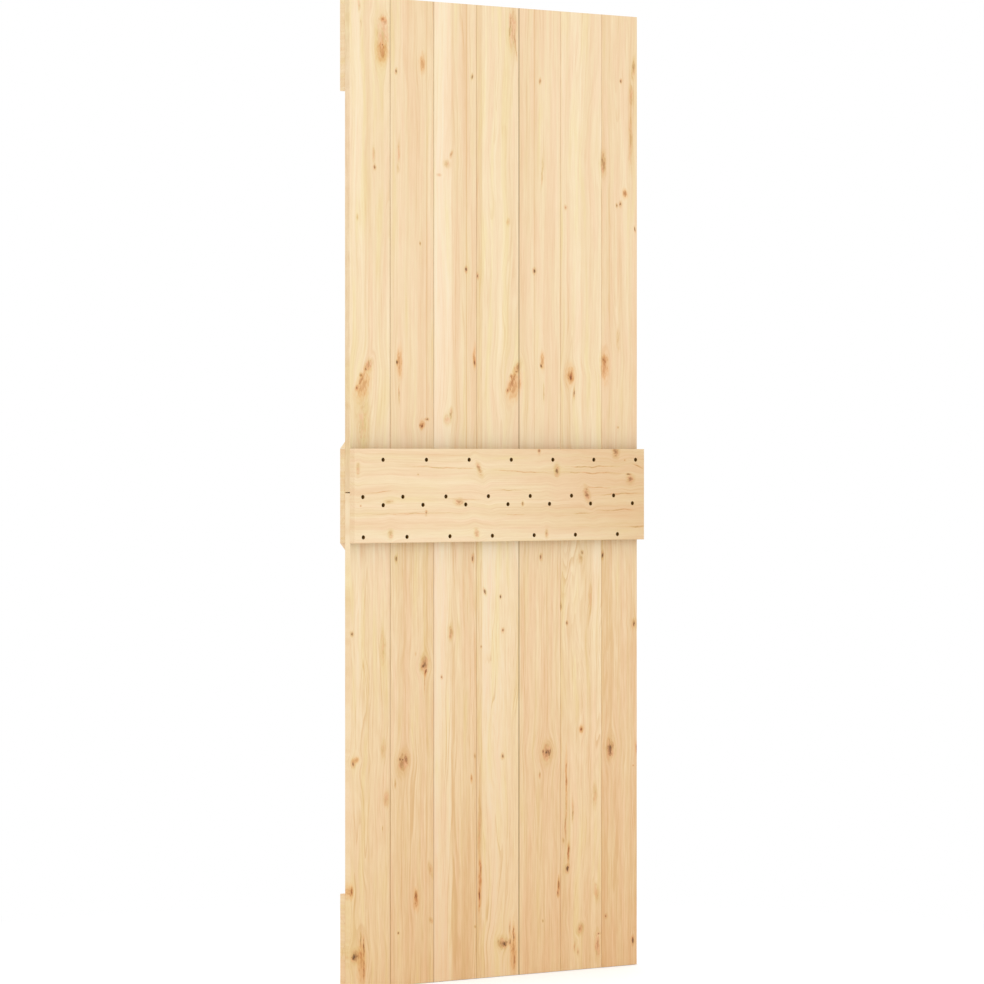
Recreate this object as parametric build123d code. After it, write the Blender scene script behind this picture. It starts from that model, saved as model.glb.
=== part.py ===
"""Plank sliding door leaf, in millimetres.

Two half panels of tongue-and-groove boards meet at half height. Three rails and two braces stiffen the front,
and a drilled rail on the back is screwed through the joint into the front's middle rail.
X runs along the width, +Y out of the braced front, +Z up. The origin is the middle of the top rail's front face,
where the hangers of a sliding track are bolted on.
"""
from build123d import *
from math import asin, atan2, hypot, tan
import os

# Overall sizes
LEAF_HEIGHT = 2100.0
LEAF_WIDTH = 800.0  # the rails' length
PLANK_THICKNESS = 18.0
RAIL_THICKNESS = 18.0
BRACE_THICKNESS = 18.0
BACK_RAIL_THICKNESS = 18.0

# The boards of the panel
PLANK_COUNT = 7
FIRST_PLANK_TRIM = 10.0  # sawn off the first board, with its groove
LAST_PLANK_TRIM = 15.0  # sawn off the last board, with its tongue
RAIL_OVERHANG = 6.0  # the rails run this far past the last board
SEAM_GAP = 0.4
SEAM_BEVEL = 1.0
TONGUE_LENGTH = 6.5
TONGUE_THICKNESS = 6.0
TONGUE_FIT = 0.3  # clearance at each cheek of the tongue
TONGUE_END_FIT = 0.6  # clearance past the tongue's end
HALF_JOINT_GAP = 2.4  # between the upper and the lower half

# Rails and braces
RAIL_HEIGHT = 200.0
MIDDLE_RAIL_DROP = 7.0  # the middle rails sit this far below half height
BRACE_WIDTH = 100.0
BRACE_END_FIT = 0.3
EDGE_BEVEL = 1.5

# The screw holes of the back rail
SCREW_HEAD_BORE = 9.0
SCREW_HEAD_DEPTH = 9.0
SCREW_SHANK_BORE = 5.0
TOP_ROW_INSET = 23.5  # top row, from the rail's upper edge
BOTTOM_ROW_INSET = 12.5  # bottom row, from the rail's lower edge
SECOND_ROW_DROP = 2.2  # second and third row, below the rail's middle
THIRD_ROW_DROP = 19.7
TOP_ROW_START = 74.5  # each row, from the rail's left end
SECOND_ROW_START = 11.2
THIRD_ROW_START = 65.2
BOTTOM_ROW_START = 22.2
SCREW_LAG = 1.0  # from screw to screw is this much less than from seam to seam
FIRST_SCREW_SHIFT = 9.7  # the first screws of the two middle rows move in
LAST_SCREW_SHIFT = 4.0  # the last screw of each row moves out

# Where things lie
LEFT = -LEAF_WIDTH / 2
PANEL_RIGHT = LEAF_WIDTH / 2 - RAIL_OVERHANG
PLANK_COVER = (PANEL_RIGHT - LEFT + FIRST_PLANK_TRIM + LAST_PLANK_TRIM) / PLANK_COUNT
FIRST_SEAM = LEFT - FIRST_PLANK_TRIM
TOP = RAIL_HEIGHT / 2
BOTTOM = TOP - LEAF_HEIGHT
HALF_JOINT = (TOP + BOTTOM) / 2
MIDDLE_RAIL_CENTRE = HALF_JOINT - MIDDLE_RAIL_DROP
BOTTOM_RAIL_CENTRE = BOTTOM + RAIL_HEIGHT / 2
PANEL_FRONT = -RAIL_THICKNESS
PANEL_BACK = PANEL_FRONT - PLANK_THICKNESS
PANEL_MIDDLE = PANEL_FRONT - PLANK_THICKNESS / 2

parts = {}


def plank_profile(index):
    """Cross-section of one board, with its groove on the left and its tongue on the right."""
    first = index == 0
    last = index == PLANK_COUNT - 1
    left = LEFT if first else FIRST_SEAM + index * PLANK_COVER + SEAM_GAP / 2
    right = PANEL_RIGHT if last else FIRST_SEAM + (index + 1) * PLANK_COVER - SEAM_GAP / 2
    board = Pos((left + right) / 2, PANEL_MIDDLE) * Rectangle(right - left, PLANK_THICKNESS)
    board = chamfer(board.vertices(), SEAM_BEVEL)
    if not first:
        depth = TONGUE_LENGTH - SEAM_GAP + TONGUE_END_FIT
        groove = Rectangle(depth, TONGUE_THICKNESS + 2 * TONGUE_FIT, align=(Align.MIN, Align.CENTER))
        board -= Pos(left, PANEL_MIDDLE) * groove
    if not last:
        tongue = Rectangle(TONGUE_LENGTH, TONGUE_THICKNESS, align=(Align.MIN, Align.CENTER))
        board += Pos(right, PANEL_MIDDLE) * tongue
    return board


def rail(thickness, back, centre, outward):
    """A board across the leaf, its outer edges bevelled. It runs from y = back, outward being +1 or -1."""
    side = Align.MIN if outward > 0 else Align.MAX
    board = Pos(0, back, centre) * Box(LEAF_WIDTH, thickness, RAIL_HEIGHT, align=(Align.CENTER, side, Align.CENTER))
    outer_face = board.faces().sort_by(Axis.Y)[-1 if outward > 0 else 0]
    return chamfer(outer_face.edges(), EDGE_BEVEL)


def brace(foot, head):
    """A board from the middle rail's left corner to the far corner, sawn level at both ends.

    foot and head are the heights of its ends. One long edge starts in the near corner and the other ends in the far
    one, so the board's slope follows from the bay's diagonal and the board's width.
    """
    run = PANEL_RIGHT - LEFT
    rise = abs(head - foot)
    slope = atan2(rise, run) + asin(BRACE_WIDTH / hypot(run, rise))
    shift = rise / tan(slope)
    corners = [(LEFT, foot), (LEFT + shift, head), (PANEL_RIGHT, head), (PANEL_RIGHT - shift, foot)]
    face = make_face(Polyline(*[(x, PANEL_FRONT, z) for x, z in corners], close=True).edges())
    board = extrude(face, BRACE_THICKNESS, dir=(0, 1, 0))
    outer_face = board.faces().sort_by(Axis.Y)[-1]
    long_edges = outer_face.edges().sort_by(SortBy.LENGTH)[-2:]
    return chamfer(long_edges, EDGE_BEVEL)


def screw_places():
    """Centre of each screw hole in the back rail, as (x, z)."""
    upper_edge = MIDDLE_RAIL_CENTRE + RAIL_HEIGHT / 2
    lower_edge = MIDDLE_RAIL_CENTRE - RAIL_HEIGHT / 2
    rows = [
        (TOP_ROW_START, upper_edge - TOP_ROW_INSET, 0.0),
        (SECOND_ROW_START, MIDDLE_RAIL_CENTRE - SECOND_ROW_DROP, FIRST_SCREW_SHIFT),
        (THIRD_ROW_START, MIDDLE_RAIL_CENTRE - THIRD_ROW_DROP, FIRST_SCREW_SHIFT),
        (BOTTOM_ROW_START, lower_edge + BOTTOM_ROW_INSET, 0.0),
    ]
    places = []
    for start, height, first_shift in rows:
        xs = [LEFT + start + index * (PLANK_COVER - SCREW_LAG) for index in range(PLANK_COUNT)]
        xs[0] += first_shift
        xs[-1] += LAST_SCREW_SHIFT
        places += [(x, height) for x in xs]
    return places


# Panel: two halves of each board
for index in range(PLANK_COUNT):
    profile = plank_profile(index)
    lower_length = HALF_JOINT - HALF_JOINT_GAP / 2 - BOTTOM
    upper_foot = HALF_JOINT + HALF_JOINT_GAP / 2
    parts[f"lower_plank_{index + 1}"] = Pos(0, 0, BOTTOM) * extrude(profile, lower_length)
    parts[f"upper_plank_{index + 1}"] = Pos(0, 0, upper_foot) * extrude(profile, TOP - upper_foot)

# Front: three rails, and a brace in each bay
parts["top_rail"] = rail(RAIL_THICKNESS, PANEL_FRONT, 0.0, 1)
parts["middle_rail"] = rail(RAIL_THICKNESS, PANEL_FRONT, MIDDLE_RAIL_CENTRE, 1)
parts["bottom_rail"] = rail(RAIL_THICKNESS, PANEL_FRONT, BOTTOM_RAIL_CENTRE, 1)
upper_bay_foot = MIDDLE_RAIL_CENTRE + RAIL_HEIGHT / 2 + BRACE_END_FIT
upper_bay_head = TOP - RAIL_HEIGHT - BRACE_END_FIT
lower_bay_foot = MIDDLE_RAIL_CENTRE - RAIL_HEIGHT / 2 - BRACE_END_FIT
lower_bay_head = BOTTOM + RAIL_HEIGHT + BRACE_END_FIT
parts["upper_brace"] = brace(upper_bay_foot, upper_bay_head)
parts["lower_brace"] = brace(lower_bay_foot, lower_bay_head)

# Back: the drilled rail, with counterbored holes
back_rail = rail(BACK_RAIL_THICKNESS, PANEL_BACK, MIDDLE_RAIL_CENTRE, -1)
back_face = PANEL_BACK - BACK_RAIL_THICKNESS
for x, z in screw_places():
    drill = Plane(origin=(x, back_face, z), x_dir=(1, 0, 0), z_dir=(0, 1, 0))
    back_rail -= extrude(drill * Circle(SCREW_HEAD_BORE / 2), SCREW_HEAD_DEPTH)
    back_rail -= extrude(drill * Circle(SCREW_SHANK_BORE / 2), BACK_RAIL_THICKNESS)
parts["back_rail"] = back_rail

os.makedirs("parts", exist_ok=True)
for name, shape in parts.items():
    export_step(shape, f"parts/{name}.step")
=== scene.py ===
"""Looks of a boarded sliding-door leaf: pine grain, knots, screws, floor, light and camera.

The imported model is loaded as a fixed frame. Every board keeps its own solid and gets a pine of its own,
worked out from the board's place in the leaf: growth rings round a pith, fibres, strips of lighter and
deeper wood, and the knots that bow the grain round them.
"""

import math

import bmesh
import bpy
from bpy.props import FloatProperty, FloatVectorProperty, PointerProperty
from mathutils import Matrix, Vector


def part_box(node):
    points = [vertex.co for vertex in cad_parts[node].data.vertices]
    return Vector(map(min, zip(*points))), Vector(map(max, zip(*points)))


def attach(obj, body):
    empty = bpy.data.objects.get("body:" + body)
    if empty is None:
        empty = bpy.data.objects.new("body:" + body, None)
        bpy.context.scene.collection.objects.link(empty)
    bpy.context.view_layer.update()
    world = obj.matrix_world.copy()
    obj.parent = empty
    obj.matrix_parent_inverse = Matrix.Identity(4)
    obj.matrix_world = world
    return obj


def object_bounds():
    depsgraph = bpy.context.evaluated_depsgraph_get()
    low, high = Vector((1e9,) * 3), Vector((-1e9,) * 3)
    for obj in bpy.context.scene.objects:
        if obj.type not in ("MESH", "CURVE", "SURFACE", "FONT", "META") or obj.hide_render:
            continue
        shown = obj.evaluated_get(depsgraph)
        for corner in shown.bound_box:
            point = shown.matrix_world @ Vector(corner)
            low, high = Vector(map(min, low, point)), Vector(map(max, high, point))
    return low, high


bl_info = {
    "name": "Boarded Sliding Door Looks",
    "version": (1, 0, 0),
    "blender": (4, 5, 0),
    "location": "View3D > Sidebar > Door",
    "description": "Dresses the boards, rails, braces and screws of a boarded sliding-door leaf",
    "category": "Material",
}

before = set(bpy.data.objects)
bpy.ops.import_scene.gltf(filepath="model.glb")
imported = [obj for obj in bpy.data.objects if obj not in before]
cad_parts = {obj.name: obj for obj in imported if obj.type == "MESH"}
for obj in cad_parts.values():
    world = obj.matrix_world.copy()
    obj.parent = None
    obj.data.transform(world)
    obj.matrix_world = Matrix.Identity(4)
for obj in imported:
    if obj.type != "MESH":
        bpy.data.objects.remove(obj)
CAD_LOW, CAD_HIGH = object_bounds()
MM = 0.001
# Height above the foot at which the painted shade starts that darkens the leaf's wood towards the foot.
FOOT_SHADE_REACH = 1.5

# Boards of the leaf, by node name.
PLANK_COUNT = 7
FRONT_RAILS = ("top_rail", "middle_rail", "bottom_rail")
BRACES = ("upper_brace", "lower_brace")
BRACE_WIDTH = 0.1
BACK_RAIL = "back_rail"
SCREWS_PER_PLANK = 4
COUNTERBORE_DEPTH = 0.009
# The back rail's right end is deeper, and the glued strip along its lower edge paler.
RIGHT_END_TINT = (0.86, 0.77, 0.65)
LOWEST_STRIP_HEIGHT = 0.028
LOWEST_STRIP_TINT = (1.02, 1.055, 1.09)
# Painted shade in the drilled and counterbored holes.
HOLE_SHADE_COLOUR = (0.26, 0.13, 0.02)

# Knots in the planks, as seen from the back: (from the left edge, above the foot, half width, half height)
# in millimetres, then the degrees that the top leans to the right. One list for each finish.
BLACK_KNOTS = (
    (10, 67, 8, 9, 20), (123, 1946, 2.5, 6, 0), (140, 480, 4, 4, 0), (313, 1530, 4, 7, 0),
    (329, 1945, 2.5, 6, 0), (344, 1516, 2.5, 7, 0), (405, 823, 2.5, 4, 0), (418, 70, 8.5, 10, 28),
    (501, 1531, 4, 6, 0), (520, 1324, 2.5, 5, 0), (535, 480, 4, 4, 0), (595, 223, 5, 8, 0),
    (633, 527, 3, 4, 0), (695, 909, 3.5, 8, 0), (716, 486, 4, 9, 0), (126, 1327, 2.5, 5, 0),
    (194, 678, 6, 8, 0), (782, 54, 4.5, 9, 0), (787, 757, 4, 6, 0),
)
BROWN_KNOTS = (
    (19, 1271, 4, 5, 20), (29, 1299, 4, 4, 20), (44, 1311, 4, 4, 0), (426, 1270, 4, 5, 20),
    (436, 1300, 4, 4, 20), (452, 1311, 4, 4, 0), (124, 908, 3.5, 7, 0), (191, 1191, 3.5, 5, 0),
    (197, 680, 8, 11, 0), (202, 668, 4, 5, 0), (245, 653, 2.5, 4, 0), (331, 907, 3.5, 8, 0),
    (335, 1329, 3, 9, 0), (363, 834, 3.5, 7, -17), (413, 477, 4, 6, 0), (517, 1945, 3, 6, 0),
    (520, 907, 3.5, 7, 0), (593, 762, 3, 4, 0), (683, 75, 6, 3, 0), (735, 1681, 2.5, 4, 0),
    (746, 1684, 3.5, 6, 0), (746, 1956, 3.5, 5, 0), (786, 757, 6, 9, 0), (149, 479, 7, 13, 0),
    (132, 481, 3, 5, 0), (541, 481, 8.5, 13, 0), (525, 483, 3, 5, 0), (714, 479, 9, 20, 0),
    (17, 69, 3.5, 6, 0), (28, 74, 2.5, 7, 0), (425, 73, 3, 4, 0), (434, 74, 3, 8, 0), (6, 751, 3.5, 5, 0),
    (8, 476, 4, 7, 0), (65, 1740, 3.5, 6, 0), (86, 2000, 2.5, 3, 0), (128, 111, 2.5, 3, 0),
    (354, 716, 2, 3, 0), (413, 750, 3.5, 5, 0), (635, 915, 4.5, 5, 0), (704, 112, 3.5, 5, 0),
    (783, 442, 2, 2, 0), (788, 1630, 2, 6, -10), (204, 1206, 5, 3, 0), (614, 1265, 2.5, 10, 0),
    (176, 187, 3.5, 9, 0), (28, 102, 1.6, 14, 0), (36, 88, 1.6, 22, 0), (434, 100, 1.6, 15, 0),
    (443, 86, 1.6, 22, 0), (694, 1775, 1.6, 14, 0), (569, 191, 2.5, 10, 0), (567, 172, 2.5, 8, 0),
    (5, 205, 2.5, 8, 0), (349, 176, 2, 16, 0), (602, 1300, 5.5, 7, 0), (697, 1340, 4, 8, 0),
    (186, 1193, 2.5, 4, 0),
)
RED_KNOTS = (
    (88, 2055, 8, 5, 0), (176, 180, 7, 21, 0), (327, 432, 3, 9, 0), (349, 184, 3.5, 18, 0),
    (569, 184, 4, 19, 0), (602, 1303, 9, 13, 0), (701, 1336, 10, 16, 0), (792, 479, 2.5, 13, 0),
    (3, 207, 6, 14, 0), (36, 47, 3.5, 40, 0), (445, 37, 4, 38, 0), (591, 419, 2.5, 58, 0),
    (31, 1289, 8, 30, 28), (439, 1289, 8, 30, 28), (596, 256, 2.5, 24, 0), (757, 1708, 7, 10, 0),
    (200, 662, 3, 10, 0),
)
AMBER_KNOTS = (
    (86, 335, 1.5, 6, 0), (91, 2049, 12, 9, 0), (120, 429, 2.5, 11, 0), (131, 1259, 2, 26, 0),
    (187, 1582, 3, 5, 0), (199, 645, 1.5, 28, 0), (269, 749, 7, 17, 0), (336, 480, 2.5, 6, 0),
    (351, 231, 3, 32, 0), (432, 2060, 3.5, 40, 0), (516, 431, 3, 9, 0), (524, 113, 3, 4, 0),
    (577, 799, 3.5, 10, 0), (589, 325, 2.5, 48, 0), (589, 1672, 4.5, 6, 0), (598, 262, 3, 18, 0),
    (609, 349, 3, 26, 0), (615, 50, 3, 11, 0), (739, 1191, 3, 3, 0), (51, 1320, 9, 16, 20),
    (455, 1320, 9, 16, 20), (199, 686, 11, 19, 0), (140, 474, 15, 27, 8), (537, 480, 17, 25, 8),
    (717, 484, 13, 26, 0), (697, 1771, 9, 28, 0), (680, 49, 8.5, 33, 0), (625, 38, 3.5, 12, 0),
    (631, 89, 9, 14, 28), (14, 70, 13, 16, 0), (411, 72, 15, 15, 0), (440, 2045, 2.5, 36, -8),
    (447, 2028, 2.5, 40, -6), (783, 1986, 6, 24, 8), (271, 1775, 4, 9, 15), (268, 1217, 6, 14, 12),
)
ORANGE_CLOUDS = (
    (38, 1278, 17, 37, 20), (446, 1277, 17, 37, 20), (132, 1326, 8, 36, 0), (524, 1335, 6.5, 22, 0),
    (194, 1966, 10, 22, 0), (86, 1985, 18, 28, 0), (701, 1325, 13, 38, 0), (633, 527, 8, 11, 0),
    (30, 55, 12, 50, 0), (443, 53, 11, 56, 0), (349, 200, 4.5, 76, 0), (601, 1304, 15, 26, 0),
    (335, 1340, 5, 26, 0), (15, 484, 9, 8, 0), (192, 1195, 8, 11, 0),
)
PALE_KNOTS = (
    (20, 1633, 4, 8, 0), (23, 2082, 4, 17, 0), (30, 2039, 1.5, 25, 0), (97, 399, 9, 21, 0),
    (128, 1741, 4, 13, 0), (175, 705, 2.5, 6, 0), (215, 242, 7, 21, -17), (216, 133, 5.5, 9, -30),
    (237, 1730, 8, 4, 0), (336, 112, 3.5, 4, 0), (349, 319, 5.5, 76, 0), (429, 1635, 5.5, 11, 10),
    (523, 1745, 4, 40, 4), (527, 1267, 2.5, 26, 0), (581, 286, 3.5, 7, 0), (672, 380, 8.5, 33, 0),
    (676, 168, 8.5, 26, -10), (776, 1926, 8.5, 29, 0), (774, 1826, 7, 72, 0), (86, 2022, 20, 60, 0),
    (440, 2050, 13, 60, 0), (259, 1754, 10, 10, 0), (130, 1774, 4, 36, 0), (63, 1765, 5, 22, 0),
    (260, 1206, 12, 14, 0), (631, 904, 11, 14, 0),
)
AMBER_STREAKS = (
    (87, 721, 9, 53, 0), (89, 504, 8, 26, 0), (660, 814, 6, 40, 0), (739, 1385, 6, 33, 0),
    (34, 1195, 24, 80, 0),
)
# How strongly each seam between two planks has darkened, from the left, how far from it, and what is left.
SEAM_STRENGTHS = (0.40, 0.30, 0.12, 1.0, 0.0, 0.0)
SEAM_SHADE = 2.0
SEAM_TINT = (0.62, 0.60, 0.54)
# Painted shade in the corners beside the back rail: how far it reaches, and what is left in the corner above
# and below it.
RAIL_SHADE_REACH = 0.023
SHADE_ABOVE_RAIL = (0.73, 0.77, 0.82)
SHADE_BELOW_RAIL = (0.80, 0.84, 0.88)
# How deep each finish is, from bare wood at 0 to black at 1.
KNOT_TONES = (
    (AMBER_STREAKS, 0.26), (PALE_KNOTS, 0.32), (ORANGE_CLOUDS, 0.42), (AMBER_KNOTS, 0.48),
    (RED_KNOTS, 0.58), (BROWN_KNOTS, 0.74), (BLACK_KNOTS, 0.92),
)
# Knots in the back rail, in the same measures, with a tone of their own at the end, then its darkest lines.
RAIL_KNOTS = (
    (8, 1100, 6, 15, 0, 0.34), (168, 1088, 2.7, 2, 0, 0.45), (334, 1098, 6.5, 17, -20, 0.54),
    (15, 1022, 2.6, 2, 0, 0.65), (279, 1030, 13, 8, 0, 0.52), (190, 1006, 3, 6, 0, 0.66),
    (94, 961, 8, 12, 0, 0.38), (327, 960, 8, 13, -12, 0.40), (550, 1097, 6.5, 11, 0, 0.74),
    (717, 1136, 8.5, 13, 0, 0.62), (759, 1077, 10, 10, 0, 0.60), (754, 1088, 7, 2.5, 0, 0.74),
    (635, 1044, 7.5, 16, -17, 0.62), (500, 1139, 4, 6, 0, 0.66), (454, 1024, 3, 5, 0, 0.60),
    (521, 960, 5, 11, 0, 0.46), (743, 1119, 2.3, 2, 0, 0.55), (89, 1031, 17, 5, 0, 0.40),
)
RAIL_LINES = (
    (241, 1102, 110, 1.4, 2, 0.34), (452, 1094, 85, 1.5, 2.5, 0.37), (646, 1104, 86, 1.5, 0, 0.40),
    (648, 1091, 88, 1.6, 1, 0.40), (783, 1105, 18, 1.8, 20, 0.42), (422, 1053, 55, 1.3, 0, 0.35),
    (665, 1059, 48, 1.3, 2, 0.36), (725, 1043, 72, 1.6, -1, 0.42), (430, 1001, 32, 1.2, 0, 0.34),
    (623, 1002, 26, 1.4, -3, 0.40), (722, 1009, 60, 1.4, 0, 0.36), (780, 972, 24, 1.8, 0, 0.44),
    (63, 1051, 42, 1.3, -4, 0.34), (160, 1005, 150, 1.2, 0, 0.32), (287, 1035, 44, 1.4, 1, 0.38),
)
# Knots in the front boards, measured like the back rail's.
FRONT_KNOTS = {
    "top_rail": ((165, 2030, 9, 7, 0, 0.66), (470, 1965, 5, 4, 0, 0.82), (655, 2055, 10, 7, 0, 0.60)),
    "middle_rail": ((250, 1080, 5, 4, 0, 0.82), (560, 1010, 10, 8, 0, 0.62)),
    "bottom_rail": ((120, 70, 9, 7, 0, 0.62), (390, 130, 5, 4, 0, 0.82), (700, 60, 8, 6, 0, 0.70)),
    "upper_brace": ((250, 1372, 7, 6, 0, 0.68), (560, 1690, 4, 4, 0, 0.82)),
    "lower_brace": ((345, 645, 4, 4, 0, 0.82), (585, 342, 8, 6, 0, 0.64)),
}
# Strips of lighter (below 0) and deeper (above 0) wood in each plank, from the left edge in millimetres.
PLANK_STRIPS = (
    ((0, -0.14), (36, 0.05), (47, 0.36), (52, 0.02), (66, 0.34), (73, 0.02)),
    ((110, 0.22), (185, 0.42), (202, 0.80), (207, 0.35)),
    ((225, -0.75), (272, 0.12), (300, 0.28)),
    ((342, 0.32), (356, -0.55), (418, -0.32)),
    ((456, 0.20), (530, 0.16)),
    ((573, 0.10), (603, -0.40), (632, 0.02), (662, -0.32)),
    ((690, 0.70), (722, 0.28), (765, 0.46)),
)
# Strips and thin deep lines that only the upper planks have, by the plank's number, in the same measures.
UPPER_LINES = {
    2: ((204, 1.7), (206, 0.80)),
    3: ((225.5, -1.05), (250, -0.75), (311.5, 1.8), (314.5, 0.28)),
    5: ((499.5, 1.4), (502.5, 0.20)),
    7: ((712, 1.2), (714.5, 0.70)),
}
# How much deeper the lower and the upper half of each plank are than the others, then
# how much pinker a plank is and how wildly its grain runs.
PLANK_LEVELS = ((-0.27, -0.15, -0.08, -0.12, 0.0, 0.08, 0.0), (-0.10, 0.18, 0.08, 0.36, -0.08, 0.08, -0.07))
PLANK_BLUSH = (-0.03, 0.03, 0.05, -0.04, 0.07, -0.01, 0.06)
PLANK_WAVINESS = (1.2, 0.5, 0.7, 1.5, 0.5, 1.5, 0.8)
# How clearly the growth rings and the strips show in the lower and the upper half.
HALF_RINGS = (1.20, 0.60)
HALF_STRIPS = (1.35, 0.95)
# How far the sawn side edges of the lower and the upper half have darkened, and what is left where they have.
HALF_EDGES = (0.0, 0.75)
EDGE_TINT = (0.86, 0.79, 0.72)
# How much deeper the top, middle and bottom rail of the front are than the others.
FRONT_RAIL_LEVELS = (0.10, 0.15, -0.60)


class PineProperties(bpy.types.PropertyGroup):
    """Colours and grain of the pine that every board is cut from."""

    pale: FloatVectorProperty(
        name="Pale Wood", description="Soft wood laid down early in each year's ring",
        subtype="COLOR", size=3, min=0.0, max=1.0, default=(0.943, 0.768, 0.514),
    )
    deep: FloatVectorProperty(
        name="Deep Wood", description="Harder wood that ends each year's ring",
        subtype="COLOR", size=3, min=0.0, max=1.0, default=(0.800, 0.555, 0.292),
    )
    # Painted shade at the foot of the leaf: what it leaves of each colour.
    foot_shade_tint: FloatVectorProperty(
        name="Foot Tint", description="How much of each colour is left at the foot of the leaf",
        subtype="COLOR", size=3, min=0.0, max=1.0, default=(0.905, 0.797, 0.672),
    )
    ring_spacing: FloatProperty(
        name="Ring Spacing", description="Distance between two growth rings",
        unit="LENGTH", min=0.001, max=0.02, default=0.0034,
    )
    grain_depth: FloatProperty(
        name="Grain Depth", description="How far the hard rings and fibres stand out of the surface",
        unit="LENGTH", min=0.0, max=0.001, default=0.00012,
    )


class ScrewProperties(bpy.types.PropertyGroup):
    """The screws at the bottom of the back rail's counterbores."""

    head_radius: FloatProperty(
        name="Head Radius", description="Radius of a screw's pan head",
        unit="LENGTH", min=0.001, max=0.0043, default=0.0040,
    )
    head_height: FloatProperty(
        name="Head Height", description="Height of the head above the counterbore's floor",
        unit="LENGTH", min=0.001, max=0.005, default=0.0024,
    )
    shank_radius: FloatProperty(
        name="Shank Radius", description="Radius of the plain shank below the head",
        unit="LENGTH", min=0.001, max=0.0024, default=0.0021,
    )
    steel: FloatVectorProperty(
        name="Steel", description="Colour of the bronzed steel",
        subtype="COLOR", size=3, min=0.0, max=1.0, default=(0.22, 0.13, 0.035),
    )


class StageProperties(bpy.types.PropertyGroup):
    """Floor, light and camera."""

    camera_place: FloatVectorProperty(
        name="Camera Place", description="Where the camera stands, in the leaf's frame",
        subtype="TRANSLATION", unit="LENGTH", size=3, default=(-6.3245, -7.9841, -0.8768),
    )
    camera_turn: FloatProperty(
        name="Camera Turn", description="How far the camera turns to its right of straight ahead",
        subtype="ANGLE", default=math.radians(38.436),
    )
    camera_dip: FloatProperty(
        name="Camera Dip", description="How far the camera looks down",
        subtype="ANGLE", default=math.radians(0.415),
    )
    lens: FloatProperty(
        name="Lens", description="Focal length in millimetres on a 36 mm sensor", min=10.0, default=171.64,
    )
    dome_level: FloatProperty(
        name="Dome Level", description="Brightness of the soft light from all round",
        min=0.0, max=2.0, default=1.0,
    )
    key_level: FloatProperty(
        name="Key Level", description="Radiance of the large soft panel beside the camera",
        min=0.0, max=10.0, default=0.18,
    )


class DoorProperties(bpy.types.PropertyGroup):
    """Everything that can be set on the door."""

    pine: PointerProperty(type=PineProperties, name="Pine")
    screws: PointerProperty(type=ScrewProperties, name="Screws")
    stage: PointerProperty(type=StageProperties, name="Stage")


class Wire:
    """An output socket that can be calculated with: each step adds one node to the same tree."""

    def __init__(self, tree, socket):
        self.tree = tree
        self.socket = socket

    def math(self, operation, *others):
        node = self.tree.nodes.new("ShaderNodeMath")
        node.operation = operation
        for socket, value in zip(node.inputs, (self, *others)):
            plug(value, socket)
        return Wire(self.tree, node.outputs[0])

    def __add__(self, other):
        return self.math("ADD", other)

    def __sub__(self, other):
        return self.math("SUBTRACT", other)

    def __mul__(self, other):
        return self.math("MULTIPLY", other)

    def __truediv__(self, other):
        return self.math("DIVIDE", other)

    def ramp(self, start, end):
        """A smooth step from 0 at start to 1 at end, whichever of the two is larger."""
        node = self.tree.nodes.new("ShaderNodeMapRange")
        node.interpolation_type = "SMOOTHSTEP"
        for name, value in (("Value", self), ("From Min", start), ("From Max", end)):
            plug(value, node.inputs[name])
        return Wire(self.tree, node.outputs[0])


def plug(value, socket):
    """Links a wire to a socket, or sets the socket to a plain value."""
    if isinstance(value, Wire):
        value.tree.links.new(value.socket, socket)
    else:
        socket.default_value = value


def vector_of(x, y, z):
    """Three wires as one vector."""
    node = x.tree.nodes.new("ShaderNodeCombineXYZ")
    for socket, value in zip(node.inputs, (x, y, z)):
        plug(value, socket)
    return Wire(x.tree, node.outputs[0])


def noise(vector, detail=2.0, roughness=0.5):
    """Soft noise from about 0.2 to 0.8, one swell for each unit of the vector."""
    node = vector.tree.nodes.new("ShaderNodeTexNoise")
    plug(vector, node.inputs["Vector"])
    node.inputs["Scale"].default_value = 1.0
    node.inputs["Detail"].default_value = detail
    node.inputs["Roughness"].default_value = roughness
    return Wire(vector.tree, node.outputs["Fac"])


def mix_colours(factor, first, second, blend="MIX"):
    """First where the factor is 0, second (or its blend with the first) where it is 1."""
    node = factor.tree.nodes.new("ShaderNodeMix")
    node.data_type = "RGBA"
    node.blend_type = blend
    plug(factor, node.inputs["Factor"])
    for name, value in (("A", first), ("B", second)):
        socket = next(s for s in node.inputs if s.name == name and s.type == "RGBA")
        plug(value if isinstance(value, Wire) else (*value, 1.0), socket)
    return Wire(factor.tree, next(s for s in node.outputs if s.type == "RGBA"))


def tint(colour, by):
    """A colour multiplied by another."""
    node = colour.tree.nodes.new("ShaderNodeVectorMath")
    node.operation = "MULTIPLY"
    plug(colour, node.inputs[0])
    plug(by, node.inputs[1])
    return Wire(colour.tree, node.outputs["Vector"])


def colour_ramp(factor, stops, interpolation="LINEAR"):
    """A colour ramp through (position, colour) stops."""
    node = factor.tree.nodes.new("ShaderNodeValToRGB")
    node.color_ramp.interpolation = interpolation
    elements = node.color_ramp.elements
    while len(elements) < len(stops):
        elements.new(0.5)
    for element, (position, colour) in zip(elements, stops):
        element.position = position
        element.color = (*colour, 1.0)
    plug(factor, node.inputs["Fac"])
    return Wire(factor.tree, node.outputs["Color"])


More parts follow.
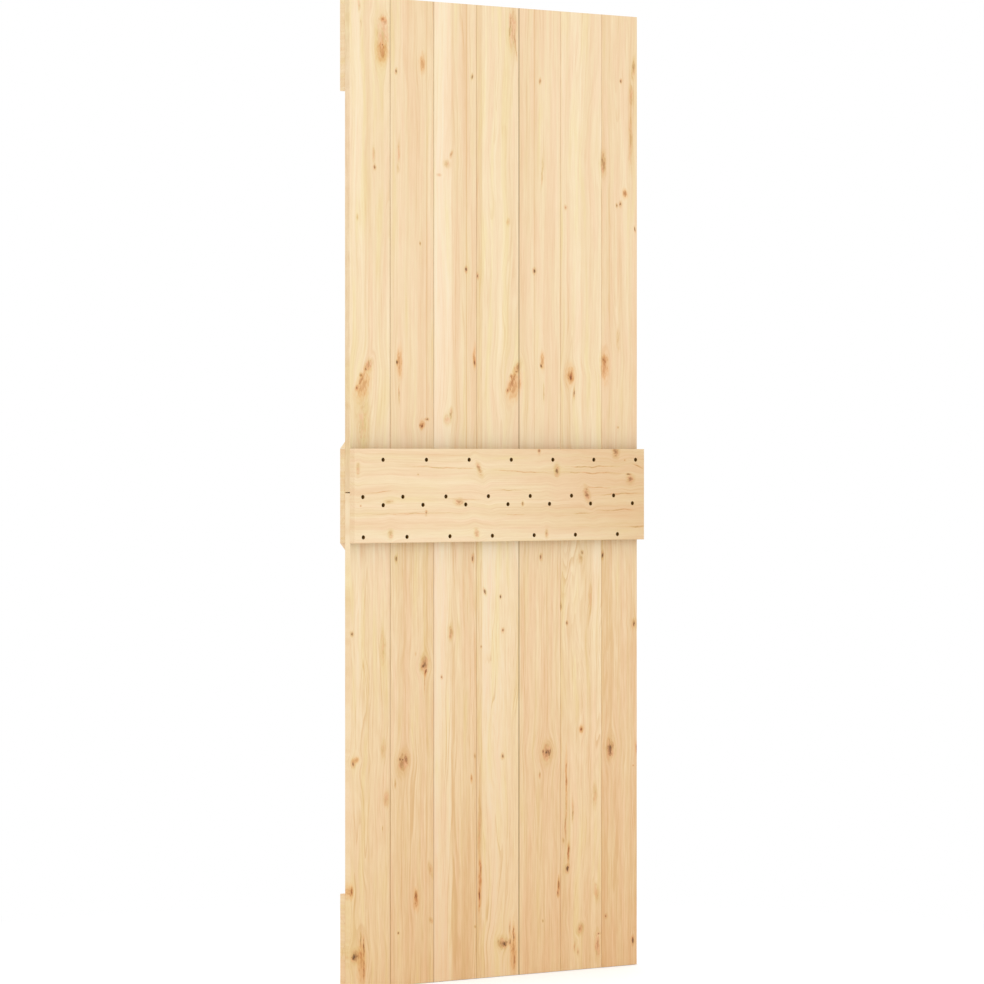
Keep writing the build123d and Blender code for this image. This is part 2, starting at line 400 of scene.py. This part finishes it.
def new_group(name, inputs, outputs):
    """An empty shader group: its tree, its input wires by name and its output sockets by name."""
    tree = bpy.data.node_groups.new(name, "ShaderNodeTree")
    for label in inputs:
        tree.interface.new_socket(label, in_out="INPUT", socket_type="NodeSocketFloat")
    for label, kind in outputs:
        tree.interface.new_socket(label, in_out="OUTPUT", socket_type=kind)
    entry = tree.nodes.new("NodeGroupInput")
    leave = tree.nodes.new("NodeGroupOutput")
    wires = {label: Wire(tree, entry.outputs[label]) for label in inputs}
    return tree, wires, leave.inputs


def use_group(tree, group, values):
    """Puts a group in a tree, feeds it and gives its outputs as wires by name."""
    node = tree.nodes.new("ShaderNodeGroup")
    node.node_tree = group
    for label, value in values.items():
        plug(value, node.inputs[label])
    return {socket.name: Wire(tree, socket) for socket in node.outputs}


KNOT_INPUTS = (
    "Across", "Along", "Uneven", "Centre Across", "Centre Along", "Half Width", "Half Height", "Lean Cosine",
    "Lean Sine", "Tone", "Mark", "Push",
)


def knot_group():
    """One knot: darkens the mark so far, and pushes the grain aside where it passes the knot."""
    tree, wire, leave = new_group(
        "Knot", KNOT_INPUTS, (("Mark", "NodeSocketFloat"), ("Push", "NodeSocketFloat"))
    )
    right = wire["Across"] - wire["Centre Across"]
    up = wire["Along"] - wire["Centre Along"]
    side = (right * wire["Lean Cosine"] - up * wire["Lean Sine"]) / wire["Half Width"]
    rise = (right * wire["Lean Sine"] + up * wire["Lean Cosine"]) / wire["Half Height"]
    bare_reach = (side * side + rise * rise).math("SQRT")
    crisp = wire["Tone"].ramp(0.25, 0.75)
    reach = bare_reach + wire["Uneven"] * (crisp * 0.5 + 0.5)
    # A soft cloud of resin, in it the heart with the branch's own rings, and a dark eye in the middle.
    # Faint knots are little more than the cloud.
    cloud = reach.ramp(crisp * 0.60 + 1.35, crisp * 0.35 + 0.45) * (wire["Tone"] * 0.16 + 0.12)
    heart = reach.ramp(crisp * -0.15 + 1.15, 0.45) * ((bare_reach * 11.0).math("SINE") * 0.12 + 0.72)
    eye = (reach + wire["Uneven"] * 0.7).ramp(0.65, 0.20)
    mark = (heart.math("MAXIMUM", eye) * wire["Tone"]).math("MAXIMUM", cloud)
    plug(mark.math("MAXIMUM", wire["Mark"]), leave["Mark"])
    bow = side / (side * side + 1.0) * wire["Half Width"] * wire["Tone"].ramp(0.25, 0.40) * 1.1
    fade = (rise * rise * -0.30).math("EXPONENT")
    plug(bow * fade + wire["Push"], leave["Push"])
    return tree


PINE_INPUTS = (
    "Across", "Along", "Depth", "Push", "Mark", "Red Mark", "Strip", "Blush", "Foot",
    "End Grain", "Seed", "Waviness", "Rings", "Pith Across", "Pith Depth", "Pith Slope",
)
# What a mark leaves of the wood's red, green and blue, from bare wood to black: where the branch stained the
# wood tan, where it stained it pink, and in the red heart of a young branch.
TAN_MARKS = (
    (0.00, (1.00, 1.00, 1.00)), (0.14, (0.95, 0.92, 0.82)), (0.30, (0.83, 0.73, 0.55)),
    (0.50, (0.62, 0.46, 0.31)), (0.72, (0.36, 0.25, 0.16)), (1.00, (0.11, 0.07, 0.04)),
)
PINK_MARKS = (
    (0.00, (1.00, 1.00, 1.00)), (0.14, (0.985, 0.89, 0.85)), (0.30, (0.92, 0.74, 0.64)),
    (0.50, (0.70, 0.49, 0.36)), (0.72, (0.40, 0.27, 0.18)), (1.00, (0.12, 0.07, 0.04)),
)
RED_MARKS = (
    (0.00, (1.00, 1.00, 1.00)), (0.14, (0.98, 0.90, 0.81)), (0.30, (0.91, 0.71, 0.53)),
    (0.50, (0.72, 0.46, 0.28)), (0.72, (0.46, 0.24, 0.13)), (1.00, (0.20, 0.08, 0.05)),
)
# What is left of the three colours in the palest wood, in pink heart wood and in yellow sap wood.
CREAM_TINT = (1.01, 1.05, 1.14)
PINK_TINT = (1.0, 0.955, 0.965)
YELLOW_TINT = (0.985, 1.0, 0.90)


def pine_group(pine):
    """Planed pine: growth rings round a pith, strips, streaks, fibres, end grain and knot marks."""
    tree, wire, leave = new_group(
        "Pine", PINE_INPUTS,
        (("Colour", "NodeSocketColor"), ("Roughness", "NodeSocketFloat"), ("Height", "NodeSocketFloat")),
    )
    seed = wire["Seed"]
    along = wire["Along"]
    sway = noise(vector_of(seed, wire["Across"] / 160.0, along / 420.0), 1.0) * 30.0
    ripple = noise(vector_of(seed + 3.0, wire["Across"] / 18.0, along / 120.0), 2.0) * 7.0
    grain = wire["Across"] - wire["Push"] + (sway + ripple) * wire["Waviness"]
    # Growth rings: the pith lies at a slope to the board, so the rings meet the face in long arches.
    side = grain - wire["Pith Across"]
    drop = wire["Depth"] - wire["Pith Depth"] - along * wire["Pith Slope"]
    figure = noise(vector_of(seed + 23.0, grain / 30.0, along / 340.0), 1.0) * 10.0 * wire["Waviness"]
    ring = (side * side + drop * drop).math("SQRT") * MM / pine.ring_spacing + figure
    phase = ring.math("FRACT")
    year = tree.nodes.new("ShaderNodeTexWhiteNoise")
    year.noise_dimensions = "1D"
    plug(ring.math("FLOOR") + seed, year.inputs["W"])
    year_strength = Wire(tree, year.outputs["Value"])
    late_wood = phase.ramp(0.20, 0.86) * phase.ramp(1.0, 0.90)
    patch = noise(vector_of(seed + 27.0, grain / 34.0, along / 360.0), 1.0).ramp(0.36, 0.66)
    rings = late_wood * (year_strength * year_strength * 0.85 + 0.15) * (patch * 0.85 + 0.15) * wire["Rings"]
    # Streaks of a few millimetres, broad bands, short flecks, and fibres that show close up.
    streak = noise(vector_of(seed + 7.0, grain / 5.0, along / 420.0), 3.0, 0.65) - 0.5
    band = noise(vector_of(seed + 11.0, grain / 24.0, along / 700.0), 1.0) - 0.5
    fleck = noise(vector_of(seed + 35.0, grain / 4.0, along / 60.0), 2.0, 0.6) - 0.5
    fibre = noise(vector_of(seed + 15.0, grain / 0.8, along / 22.0), 2.0, 0.7) - 0.5
    shade = rings * 0.66 + streak * 0.90 + band * 0.85 + fleck * wire["Rings"] * 1.0 + fibre * 0.30
    shade = shade + wire["Strip"] * 0.42 + 0.30
    shade = shade + wire["End Grain"] * (rings * 0.4 + 0.20)
    colour = mix_colours(shade.math("MAXIMUM", 0.0).math("MINIMUM", 1.6), pine.pale, pine.deep)
    colour = mix_colours(shade.ramp(0.10, -0.40), colour, CREAM_TINT, "MULTIPLY")
    # Heart wood blushes pink and sap wood yellows in long patches, and painted shade darkens all towards the
    # foot.
    blush = noise(vector_of(seed + 19.0, grain / 22.0, along / 260.0), 2.0) + wire["Blush"]
    colour = mix_colours(blush.ramp(0.48, 0.68), colour, PINK_TINT, "MULTIPLY")
    colour = mix_colours(blush.ramp(0.48, 0.30), colour, YELLOW_TINT, "MULTIPLY")
    colour = mix_colours(wire["Foot"], colour, pine.foot_shade_tint, "MULTIPLY")
    stain = noise(vector_of(seed + 31.0, wire["Across"] / 11.0, along / 26.0), 1.0).ramp(0.40, 0.60)
    stain = stain * wire["Mark"].ramp(0.12, 0.26)
    stained = mix_colours(stain, colour_ramp(wire["Mark"], TAN_MARKS), colour_ramp(wire["Mark"], PINK_MARKS))
    colour = tint(tint(colour, stained), colour_ramp(wire["Red Mark"], RED_MARKS))
    plug(colour, leave["Colour"])
    marked = wire["Mark"].math("MAXIMUM", wire["Red Mark"])
    plug(fibre * 0.16 - late_wood * 0.08 - marked * 0.10 + 0.58, leave["Roughness"])
    plug(noise(vector_of(seed, wire["Across"] / 0.9, along / 30.0), 2.0, 0.7), leave["Height"])
    return tree


def knots_near(low, high, margin=14):
    """The plank knots whose middles lie on a board, or within a margin of its sides, in millimetres."""
    found = []
    for knots, tone in KNOT_TONES:
        for knot in knots:
            across, along, half_width, half_height, _ = knot
            if not low[0] - min(margin, half_width) < across < high[0] + min(margin, half_width):
                continue
            if low[1] < along < high[1]:
                found.append((*knot, tone, knots in (RED_KNOTS, ORANGE_CLOUDS)))
    return found


def lying_knots(knots):
    """Knots of a board that lies across the leaf: their widths run along its grain."""
    return [(x, z, tall, wide, lean, tone, False) for x, z, wide, tall, lean, tone in knots]


def leaf_millimetres(x, z):
    """A place on the leaf as the knots give it: from its left edge and above its foot."""
    return (x - CAD_LOW.x) / MM, (z - CAD_LOW.z) / MM


class Board:
    """One board: its node, the way its grain runs, its knots and strips, and the tree it was cut from."""

    waviness = 1.0
    rings = 1.0
    pith_side = 0.0
    pith_drop = 30.0
    pith_slope = 0.02
    seams = ()
    strips = ()
    level = 0.0
    blush = 0.0
    sawn_edge = 0.0
    knots = ()

    def __init__(self, node, turn, seed, **facts):
        self.node = node
        self.turn = turn
        self.seed = seed
        for name, value in facts.items():
            setattr(self, name, value)

    def directions(self):
        """Unit vectors across and along the grain; the turn is measured from upright."""
        across = Vector((math.cos(self.turn), 0.0, -math.sin(self.turn)))
        along = Vector((math.sin(self.turn), 0.0, math.cos(self.turn)))
        return across, along


def dot(vector, direction):
    """How far a vector wire reaches along a fixed direction."""
    node = vector.tree.nodes.new("ShaderNodeVectorMath")
    node.operation = "DOT_PRODUCT"
    plug(vector, node.inputs[0])
    node.inputs[1].default_value = direction
    return Wire(vector.tree, node.outputs["Value"])


def strip_tone(across, strips):
    """The tone of the strip that a place lies in, with a soft line between neighbours."""
    tone = across * 0.0 + (strips[0][1] if strips else 0.0)
    for (_, before), (edge, after) in zip(strips, strips[1:]):
        tone = tone + across.ramp(edge - 1.5, edge + 1.5) * (after - before)
    return tone


def pine_material(board, pine, groups, extra=None):
    """The pine of one board, from its place in the leaf. Extra may change the colour at the end."""
    material = bpy.data.materials.new(f"pine_{board.node}")
    material.use_nodes = True
    tree = material.node_tree
    shader = next(n for n in tree.nodes if n.type == "BSDF_PRINCIPLED")
    shader.inputs["Specular IOR Level"].default_value = 0.35
    place = Wire(tree, tree.nodes.new("ShaderNodeTexCoord").outputs["Object"])
    normal = Wire(tree, tree.nodes.new("ShaderNodeNewGeometry").outputs["Normal"])
    across_way, along_way = board.directions()
    origin = Vector((CAD_LOW.x, 0.0, CAD_LOW.z))
    across = dot(place, across_way) / MM - across_way.dot(origin) / MM
    along = dot(place, along_way) / MM - along_way.dot(origin) / MM
    depth = dot(place, Vector((0.0, 1.0, 0.0))) / MM
    ragged = noise(vector_of(across / 6.0 + board.seed, along / 17.0, depth / 30.0), 2.0, 0.6) - 0.5
    frayed = noise(vector_of(across / 1.5 + board.seed, along / 7.0, depth / 10.0), 1.0) - 0.5
    uneven = ragged * 1.1 + frayed * 0.8
    # Marks wander with the grain.
    bend = noise(vector_of(across / 60.0 + board.seed, along / 45.0, depth / 60.0), 2.0, 0.6) - 0.5
    bent = across + bend * 9.0
    marks = {False: across * 0.0, True: across * 0.0}
    push = across * 0.0
    for knot in board.knots:
        x, z, half_width, half_height, lean, tone, red = knot
        centre = Vector((x, 0.0, z))
        out = use_group(tree, groups["knot"], {
            "Across": bent, "Along": along, "Uneven": uneven, "Centre Across": across_way.dot(centre),
            "Centre Along": along_way.dot(centre), "Half Width": half_width, "Half Height": half_height,
            "Lean Cosine": math.cos(math.radians(lean)), "Lean Sine": math.sin(math.radians(lean)),
            "Tone": tone, "Mark": marks[red], "Push": push,
        })
        marks[red], push = out["Mark"], out["Push"]
    low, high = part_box(board.node)
    middle = (low + high) / 2 - origin
    height = dot(place, Vector((0.0, 0.0, 1.0))) - CAD_LOW.z
    # Painted shade, strongest at the foot of the leaf and gone at the shade's reach.
    foot = ((height * -1.0 + FOOT_SHADE_REACH) / FOOT_SHADE_REACH).math("MAXIMUM", 0.0).math("POWER", 1.5)
    out = use_group(tree, groups["pine"], {
        "Across": across, "Along": along, "Depth": depth, "Push": push, "Mark": marks[False],
        "Red Mark": marks[True], "Strip": strip_tone(across, board.strips) + board.level,
        "Blush": board.blush, "Foot": foot,
        "End Grain": dot(normal, along_way).math("ABSOLUTE").ramp(0.75, 0.95), "Seed": board.seed,
        "Waviness": board.waviness, "Rings": board.rings,
        "Pith Across": across_way.dot(middle) / MM + board.pith_side + 8.0 * math.sin(board.seed * 2.3),
        "Pith Depth": low.y / MM - board.pith_drop - along_way.dot(middle) / MM * board.pith_slope,
        "Pith Slope": board.pith_slope,
    })
    colour = out["Colour"] if extra is None else extra(out["Colour"], place)
    # Sawn side edges darken in patches.
    patches = noise(vector_of(depth / 9.0 + board.seed, across / 9.0, along / 40.0), 2.0, 0.6)
    sawn = dot(normal, across_way).math("ABSOLUTE").ramp(0.75, 0.95)
    sawn = sawn * (patches.ramp(0.30, 0.62) * 0.6 + 0.4)
    colour = mix_colours(sawn * board.sawn_edge, colour, EDGE_TINT, "MULTIPLY")
    for edge, strength in board.seams:
        line = (across - edge).math("ABSOLUTE").ramp(SEAM_SHADE, SEAM_SHADE * 0.6) * strength
        colour = mix_colours(line, colour, SEAM_TINT, "MULTIPLY")
    plug(colour, shader.inputs["Base Color"])
    plug(out["Roughness"], shader.inputs["Roughness"])
    bump = tree.nodes.new("ShaderNodeBump")
    bump.inputs["Distance"].default_value = pine.grain_depth
    plug(out["Height"], bump.inputs["Height"])
    tree.links.new(bump.outputs["Normal"], shader.inputs["Normal"])
    return material


def pine_groups(pine):
    """The two shared groups, made once."""
    if "Pine" not in bpy.data.node_groups:
        return {"knot": knot_group(), "pine": pine_group(pine)}
    return {"knot": bpy.data.node_groups["Knot"], "pine": bpy.data.node_groups["Pine"]}


def dress(board, extra=None):
    """Gives a board's node its own pine."""
    pine = bpy.context.scene.door.pine
    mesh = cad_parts[board.node].data
    material = pine_material(board, pine, pine_groups(pine), extra)
    mesh.materials.clear()
    mesh.materials.append(material)


class DOOR_OT_dress_planks(bpy.types.Operator):
    """Gives each upright plank its grain, strips and knots"""

    bl_idname = "door.dress_planks"
    bl_label = "Dress Planks"

    def execute(self, context):
        left_sides = [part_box(f"lower_plank_{number}")[0].x for number in range(2, PLANK_COUNT + 1)]
        edges = [leaf_millimetres(x, 0.0)[0] for x in left_sides]
        seams = list(zip(edges, SEAM_STRENGTHS))
        for number in range(PLANK_COUNT):
            for half, name in enumerate(("lower_plank", "upper_plank")):
                node = f"{name}_{number + 1}"
                low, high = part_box(node)
                knots = knots_near(leaf_millimetres(low.x, low.z), leaf_millimetres(high.x, high.z))
                slope = 0.02 * math.sin(2.1 * number + 1.3 * half + 0.6)
                seed = 1.7 * number + 0.83 * half
                strips = PLANK_STRIPS[number]
                if name == "upper_plank":
                    strips = sorted(strips + UPPER_LINES.get(number + 1, ()))
                strips = [(edge, tone * HALF_STRIPS[half]) for edge, tone in strips]
                board = Board(
                    node, 0.0, seed, knots=knots, strips=strips, seams=seams, pith_slope=slope,
                    level=PLANK_LEVELS[half][number], blush=PLANK_BLUSH[number],
                    waviness=PLANK_WAVINESS[number], rings=HALF_RINGS[half], sawn_edge=HALF_EDGES[half],
                )
                dress(board, self.paint_shade_at_rail)
        return {"FINISHED"}

    @staticmethod
    def paint_shade_at_rail(colour, place):
        """Painted shade in the corners above and below the back rail."""
        low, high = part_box(BACK_RAIL)
        height = dot(place, Vector((0.0, 0.0, 1.0)))
        on_the_back = dot(place, Vector((0.0, 1.0, 0.0))).ramp(high.y + 0.0006, high.y + 0.0002)
        # Painted shade that fades away from the rail's top and bottom edges, on the planks' back faces only.
        for away, left in ((height - high.z, SHADE_ABOVE_RAIL), (height * -1.0 + low.z, SHADE_BELOW_RAIL)):
            shade = (away / -RAIL_SHADE_REACH).math("EXPONENT").math("MINIMUM", 1.0) * away.ramp(-0.002, 0.0)
            colour = mix_colours(shade * on_the_back, colour, left, "MULTIPLY")
        return colour


class DOOR_OT_dress_front_boards(bpy.types.Operator):
    """Gives the three front rails and the two braces their grain"""

    bl_idname = "door.dress_front_boards"
    bl_label = "Dress Front Boards"

    def execute(self, context):
        for number, node in enumerate(FRONT_RAILS):
            knots = lying_knots(FRONT_KNOTS[node])
            seed = 20.0 + 2.3 * number
            dress(Board(
                node, math.pi / 2, seed, knots=knots, pith_drop=-70.0, pith_slope=0.03, waviness=0.7,
                level=FRONT_RAIL_LEVELS[number],
            ))
        for number, node in enumerate(BRACES):
            low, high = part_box(node)
            run, rise = high.x - low.x, high.z - low.z
            # One long edge starts in one corner of the bay and the other ends in the far one.
            slope = math.atan2(rise, run) + math.asin(BRACE_WIDTH / math.hypot(run, rise))
            turn = math.pi / 2 - slope if number == 0 else math.pi / 2 + slope
            knots = lying_knots(FRONT_KNOTS[node])
            dress(Board(node, turn, 30.0 + 2.3 * number, knots=knots, pith_drop=-60.0, waviness=0.8))
        return {"FINISHED"}


class DOOR_OT_dress_back_rail(bpy.types.Operator):
    """Gives the back rail its grain, its knots and painted shade in its screw holes"""

    bl_idname = "door.dress_back_rail"
    bl_label = "Dress Back Rail"

    def execute(self, context):
        board = Board(
            BACK_RAIL, math.pi / 2, 41.0, knots=lying_knots(RAIL_KNOTS + RAIL_LINES), pith_side=-210.0,
            pith_drop=90.0, waviness=0.4, rings=0.62, level=-0.15, blush=0.06,
        )
        dress(board, self.tone_rail_and_shade_holes)
        return {"FINISHED"}

    @staticmethod
    def tone_rail_and_shade_holes(colour, place):
        """Deepens the wood towards the right end, pales the lowest glued strip and paints shade in the holes.
        """
        low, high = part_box(BACK_RAIL)
        x, y, z = (dot(place, axis) for axis in Matrix.Identity(3))
        colour = mix_colours(x.ramp(-0.15, high.x + 0.15), colour, RIGHT_END_TINT, "MULTIPLY")
        joint = low.z + LOWEST_STRIP_HEIGHT
        colour = mix_colours(z.ramp(joint + 0.0005, joint - 0.0005), colour, LOWEST_STRIP_TINT, "MULTIPLY")
        # Painted shade on everything that lies deeper than the rail's back face: the walls and floors of the
        # holes.
        inside = y.ramp(low.y + 0.0004, low.y + 0.0008)
        for place_along, start, end in ((x, low.x, high.x), (z, low.z, high.z)):
            inside = inside * place_along.ramp(start + 0.002, start + 0.003)
            inside = inside * place_along.ramp(end - 0.002, end - 0.003)
        return mix_colours(inside, colour, HOLE_SHADE_COLOUR)


SCREW_SEGMENTS = 24
# Points of one hole's rim lie closer together than this.
RIM_REACH = 0.012


def screw_profile(screw, depth):
    """Half outline of a screw from the middle of its head, as (radius, height above the seat) points."""
    rounding = screw.head_height * 0.55
    points = [(screw.head_radius * 0.55, screw.head_height)]
    for step in range(5):
        angle = step / 4 * math.pi / 2
        radius = screw.head_radius - rounding * (1 - math.sin(angle))
        points.append((radius, screw.head_height - rounding * (1 - math.cos(angle))))
    points += [(screw.head_radius, 0.0), (screw.shank_radius, 0.0), (screw.shank_radius, -depth)]
    return points


def add_ring(shape, centre, radius, height, recess=None):
    """A ring of vertices round the screw's axis, which points out of the rail along -Y."""
    ring = []
    for step in range(SCREW_SEGMENTS):
        angle = 2 * math.pi * step / SCREW_SEGMENTS
        reach = radius if recess is None else radius * recess(step)
        spot = Vector((reach * math.cos(angle), -height, reach * math.sin(angle)))
        ring.append(shape.verts.new(centre + spot))
    return ring


def add_screw(shape, centre, turn, screw, depth):
    """One pan-head screw with a cross recess, turned by whole segments of its ring."""
    def cross(step):
        return 1.0 if (step + turn) % (SCREW_SEGMENTS // 4) in (0, 1, SCREW_SEGMENTS // 4 - 1) else 0.42

    floor = screw.head_height - screw.head_radius * 0.35
    rings = [
        add_ring(shape, centre, screw.head_radius * 0.48, floor, cross),
        add_ring(shape, centre, screw.head_radius * 0.52, screw.head_height, cross),
    ]
    rings += [add_ring(shape, centre, radius, height) for radius, height in screw_profile(screw, depth)]
    shape.faces.new(list(reversed(rings[0])))
    for inner, outer in zip(rings, rings[1:]):
        for step in range(SCREW_SEGMENTS):
            after = (step + 1) % SCREW_SEGMENTS
            shape.faces.new((inner[step], inner[after], outer[after], outer[step]))
    shape.faces.new(rings[-1])


def steel_material(steel):
    """Bronzed steel, a little rubbed where the driver turned it."""
    material = bpy.data.materials.new("bronzed_steel")
    material.use_nodes = True
    tree = material.node_tree
    shader = next(n for n in tree.nodes if n.type == "BSDF_PRINCIPLED")
    shader.inputs["Metallic"].default_value = 0.85
    place = Wire(tree, tree.nodes.new("ShaderNodeTexCoord").outputs["Object"])
    fine = tree.nodes.new("ShaderNodeVectorMath")
    fine.operation = "SCALE"
    plug(place, fine.inputs[0])
    fine.inputs["Scale"].default_value = 1 / (0.4 * MM)
    rub = noise(Wire(tree, fine.outputs["Vector"]), 3.0)
    rubbed = [2.2 * part for part in steel]
    plug(mix_colours(rub.ramp(0.50, 0.75), steel, rubbed), shader.inputs["Base Color"])
    plug(rub * 0.3 + 0.35, shader.inputs["Roughness"])
    return material


def screw_places():
    """Where the screws sit: the middles of the counterbores' floors, found from the rail's own mesh."""
    low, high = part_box(BACK_RAIL)
    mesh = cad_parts[BACK_RAIL].data
    seat = low.y + COUNTERBORE_DEPTH
    rim = [v.co for v in mesh.vertices if abs(v.co.y - seat) < 0.2 * MM]
    places = []
    for spot in rim:
        near = next((p for p in places if (p[0] - spot).length < RIM_REACH), None)
        if near is None:
            places.append([spot])
        else:
            near.append(spot)
    return [sum((Vector(s) for s in spots), Vector()) / len(spots) for spots in places]


class DOOR_OT_drive_screws(bpy.types.Operator):
    """Puts a screw in each counterbore of the back rail"""

    bl_idname = "door.drive_screws"
    bl_label = "Drive Screws"

    def execute(self, context):
        screw = context.scene.door.screws
        low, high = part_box(BACK_RAIL)
        places = screw_places()
        if len(places) != SCREWS_PER_PLANK * PLANK_COUNT:
            raise RuntimeError(f"found {len(places)} counterbores in the back rail")
        shape = bmesh.new()
        for number, place in enumerate(places):
            add_screw(shape, place, number * 5 % SCREW_SEGMENTS, screw, high.y - place.y - 0.5 * MM)
        mesh = bpy.data.meshes.new("rail_screws")
        shape.to_mesh(mesh)
        shape.free()
        mesh.materials.append(steel_material(screw.steel))
        screws = bpy.data.objects.new("rail_screws", mesh)
        context.collection.objects.link(screws)
        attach(screws, "root")
        return {"FINISHED"}


def look_at(obj, target):
    """Turns a lamp's or a camera's back to the target, so that it faces it."""
    obj.rotation_euler = (Vector(target) - obj.location).to_track_quat("-Z", "Y").to_euler()


# The floor's size and colour, and where it starts and ends to fade, from the middle of the leaf.
FLOOR_RADIUS = 30.0
FLOOR_COLOUR = (0.90, 0.90, 0.90, 1.0)
FADE_START = 0.7
FADE_END = 1.7
# What the camera sees of the floor on top of its own shade, so that it meets the white round it.
FLOOR_LIFT = 0.25
FLOOR_LIFT_COLOUR = (0.86, 0.94, 1.0, 1.0)
# The soft lamps: where each stands from the middle of the leaf, and its power at a level of 1.
LAMPS = {"key": ((-3.5, -4.5, 3.2), 180.0), "fill": ((3.5, 4.5, 2.6), 140.0)}
LAMP_SIZE = 3.0


def make_floor():
    """A wide pale floor at the foot of the leaf that fades into the white round it."""
    mesh = bpy.data.meshes.new("floor")
    shape = bmesh.new()
    bmesh.ops.create_circle(shape, cap_ends=True, segments=96, radius=FLOOR_RADIUS)
    shape.to_mesh(mesh)
    shape.free()
    floor = bpy.data.objects.new("floor", mesh)
    floor.location.z = CAD_LOW.z - 0.001
    bpy.context.collection.objects.link(floor)
    material = bpy.data.materials.new("floor_white")
    material.use_nodes = True
    tree = material.node_tree
    tree.nodes.clear()
    output = tree.nodes.new("ShaderNodeOutputMaterial")
    matt = tree.nodes.new("ShaderNodeBsdfDiffuse")
    matt.inputs["Color"].default_value = FLOOR_COLOUR
    glow = tree.nodes.new("ShaderNodeEmission")
    lift = tree.nodes.new("ShaderNodeEmission")
    lift.inputs["Color"].default_value = FLOOR_LIFT_COLOUR
    plug(seen_directly(tree) * FLOOR_LIFT, lift.inputs["Strength"])
    lifted = tree.nodes.new("ShaderNodeAddShader")
    tree.links.new(matt.outputs[0], lifted.inputs[0])
    tree.links.new(lift.outputs[0], lifted.inputs[1])
    blend = tree.nodes.new("ShaderNodeMixShader")
    place = Wire(tree, tree.nodes.new("ShaderNodeTexCoord").outputs["Object"])
    distance = tree.nodes.new("ShaderNodeVectorMath")
    distance.operation = "LENGTH"
    plug(place, distance.inputs[0])
    fade = Wire(tree, distance.outputs["Value"]).ramp(FADE_START, FADE_END)
    plug(fade * seen_directly(tree), blend.inputs["Fac"])
    tree.links.new(lifted.outputs[0], blend.inputs[1])
    tree.links.new(glow.outputs[0], blend.inputs[2])
    tree.links.new(blend.outputs[0], output.inputs["Surface"])
    mesh.materials.append(material)


def seen_directly(tree):
    """1 for what the camera, a reflection or glass sees, and 0 for light that falls on the object."""
    path = tree.nodes.new("ShaderNodeLightPath")
    camera, glossy, through = (
        Wire(tree, path.outputs[name]) for name in ("Is Camera Ray", "Is Glossy Ray", "Is Transmission Ray")
    )
    return camera.math("MAXIMUM", glossy).math("MAXIMUM", through)


def make_world(level):
    """A soft even dome, seen as white."""
    world = bpy.data.worlds.new("studio")
    bpy.context.scene.world = world
    world.use_nodes = True
    tree = world.node_tree
    background = next(n for n in tree.nodes if n.type == "BACKGROUND")
    plug(seen_directly(tree) * (1.0 - level) + level, background.inputs["Strength"])
    background.inputs["Color"].default_value = (1.0, 1.0, 1.0, 1.0)


def make_lamp(name, place, target, size, power):
    """A large square soft lamp."""
    lamp = bpy.data.lights.new(name, "AREA")
    lamp.shape = "SQUARE"
    lamp.size = size
    lamp.energy = power
    obj = bpy.data.objects.new(name, lamp)
    obj.location = place
    look_at(obj, target)
    bpy.context.collection.objects.link(obj)


def make_camera(stage):
    """The camera at the photograph's place, turn and lens."""
    camera = bpy.data.cameras.new("camera")
    camera.sensor_width = 36.0
    camera.lens = stage.lens
    camera.clip_end = 100.0
    obj = bpy.data.objects.new("camera", camera)
    obj.location = stage.camera_place
    obj.rotation_euler = (math.pi / 2 - stage.camera_dip, 0.0, -stage.camera_turn)
    bpy.context.collection.objects.link(obj)
    bpy.context.scene.camera = obj


class DOOR_OT_set_stage(bpy.types.Operator):
    """Makes the floor, the light and the camera"""

    bl_idname = "door.set_stage"
    bl_label = "Set Stage"

    def execute(self, context):
        stage = context.scene.door.stage
        context.scene.view_settings.view_transform = "Standard"
        middle = (CAD_LOW + CAD_HIGH) / 2
        make_floor()
        make_world(stage.dome_level)
        for name, (place, power) in LAMPS.items():
            make_lamp(name, middle + Vector(place), middle, LAMP_SIZE, power * stage.key_level)
        make_camera(stage)
        return {"FINISHED"}


class DOOR_PT_looks(bpy.types.Panel):
    """Lists what the door is dressed with"""

    bl_idname = "DOOR_PT_looks"
    bl_label = "Door Looks"
    bl_space_type = "VIEW_3D"
    bl_region_type = "UI"
    bl_category = "Door"

    def draw(self, context):
        door = context.scene.door
        for group in (door.pine, door.screws, door.stage):
            box = self.layout.box()
            for name in group.__annotations__:
                box.prop(group, name)
        for operator in OPERATORS:
            self.layout.operator(operator.bl_idname)


OPERATORS = (
    DOOR_OT_dress_planks, DOOR_OT_dress_front_boards, DOOR_OT_dress_back_rail, DOOR_OT_drive_screws,
    DOOR_OT_set_stage,
)
CLASSES = (PineProperties, ScrewProperties, StageProperties, DoorProperties, *OPERATORS, DOOR_PT_looks)


def register():
    """Registers the classes and gives the scene its door settings."""
    for cls in CLASSES:
        bpy.utils.register_class(cls)
    bpy.types.Scene.door = PointerProperty(type=DoorProperties)


def unregister():
    """Takes the settings and the classes away again."""
    del bpy.types.Scene.door
    for cls in reversed(CLASSES):
        bpy.utils.unregister_class(cls)


def main():
    """Dresses the leaf piece by piece and sets the stage."""
    register()
    bpy.ops.door.dress_planks()
    bpy.ops.door.dress_front_boards()
    bpy.ops.door.dress_back_rail()
    bpy.ops.door.drive_screws()
    bpy.ops.door.set_stage()


if __name__ == "__main__":
    main()
